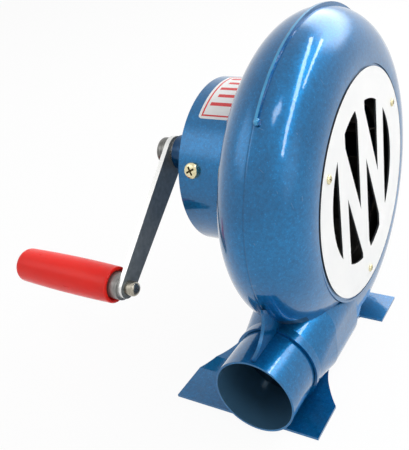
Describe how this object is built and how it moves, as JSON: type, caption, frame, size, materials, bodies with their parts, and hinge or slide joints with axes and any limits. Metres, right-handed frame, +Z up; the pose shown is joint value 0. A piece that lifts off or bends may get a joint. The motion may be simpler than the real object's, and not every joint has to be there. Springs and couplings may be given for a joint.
{
  "type": "hand crank forge blower",
  "caption": "Scroll-shaped hand crank air blower with a round outlet stub, slotted inlet guard, geared drum, crank arm with a turning grip, and a pressed sheet base.",
  "frame": {"origin": "on the underside of the base's rear feet, in the middle of their length and in the scroll's middle plane; the fan's axis lies 28 mm nearer the outlet", "axes": "+X along the fan's axis towards the air inlet, +Y away from the outlet's mouth, +Z up"},
  "size_m": [0.2667, 0.2722, 0.2672],
  "materials": {
    "blue_enamel": "glossy blue enamel",
    "white_enamel": "glossy white enamel",
    "zinc_yellow": "yellow passivated zinc plating",
    "zinc_steel": "bright zinc plating",
    "dark_steel": "dark grey blackened steel",
    "turned_steel": "turned steel",
    "cast_iron": "machined and cast grey iron",
    "brass": "turned brass",
    "bronze": "sintered bronze",
    "red_plastic": "glossy red plastic",
    "fan_sheet": "galvanised sheet",
    "gasket_paper": "black gasket"
  },
  "bodies": {
    "frame": {"rear_shell": "blue_enamel", "inlet_shell": "blue_enamel", "outlet_pipe": "blue_enamel", "base_saddle": "blue_enamel", "saddle_welds": "blue_enamel", "gearbox_drum": "blue_enamel", "gearbox_cover": "blue_enamel", "inlet_grille": "white_enamel", "grille_screws": "zinc_yellow", "drum_screws": "zinc_yellow", "bearing_plate": "cast_iron", "plate_screws": "zinc_steel", "drum_bolts": "zinc_steel", "housing_nuts": "zinc_steel", "drum_gasket": "gasket_paper", "bearing_outer_races": "turned_steel", "crank_bush": "bronze", "lay_bushes": "bronze"},
    "crank": {"crank_arm": "dark_steel", "crank_hub": "turned_steel", "hub_screw": "zinc_steel", "crank_shaft": "turned_steel", "crank_key": "turned_steel", "crank_clip": "dark_steel", "thrust_washer": "zinc_steel", "crank_gear": "cast_iron", "grip_spindle": "turned_steel", "spindle_nut": "brass", "spindle_clip": "dark_steel"},
    "grip": {"crank_grip": "red_plastic", "grip_cap": "red_plastic"},
    "lay": {"lay_gear": "cast_iron", "lay_pinion": "turned_steel", "lay_shaft": "turned_steel"},
    "fan": {"fan_pinion": "turned_steel", "fan_shaft": "turned_steel", "bearing_inner_races": "turned_steel", "bearing_spacer": "turned_steel", "impeller_blades": "fan_sheet", "impeller_disc": "fan_sheet", "impeller_ring": "fan_sheet", "impeller_hub": "turned_steel", "impeller_rivets": "zinc_steel", "impeller_nut": "zinc_steel"}
  },
  "joints": [
    {"name": "crank_turn", "type": "hinge", "parent": "frame", "child": "crank", "pos_m": [-0.09, -0.0507, 0.15745], "axis": [1, 0, 0], "continuous": true},
    {"name": "grip_turn", "type": "hinge", "parent": "crank", "child": "grip", "pos_m": [-0.175, -0.14085, 0.08287], "axis": [1, 0, 0], "continuous": true},
    {"name": "lay_turn", "type": "hinge", "parent": "frame", "child": "lay", "pos_m": [-0.06, -0.01223, 0.16841], "axis": [1, 0, 0], "continuous": true},
    {"name": "fan_turn", "type": "hinge", "parent": "frame", "child": "fan", "pos_m": [-0.034, -0.028, 0.13605], "axis": [1, 0, 0], "continuous": true}
  ],
  "couplings": [
    {"joint": "lay_turn", "follows": "crank_turn", "ratio": -4.7143},
    {"joint": "fan_turn", "follows": "crank_turn", "ratio": 23.571}
  ]
}
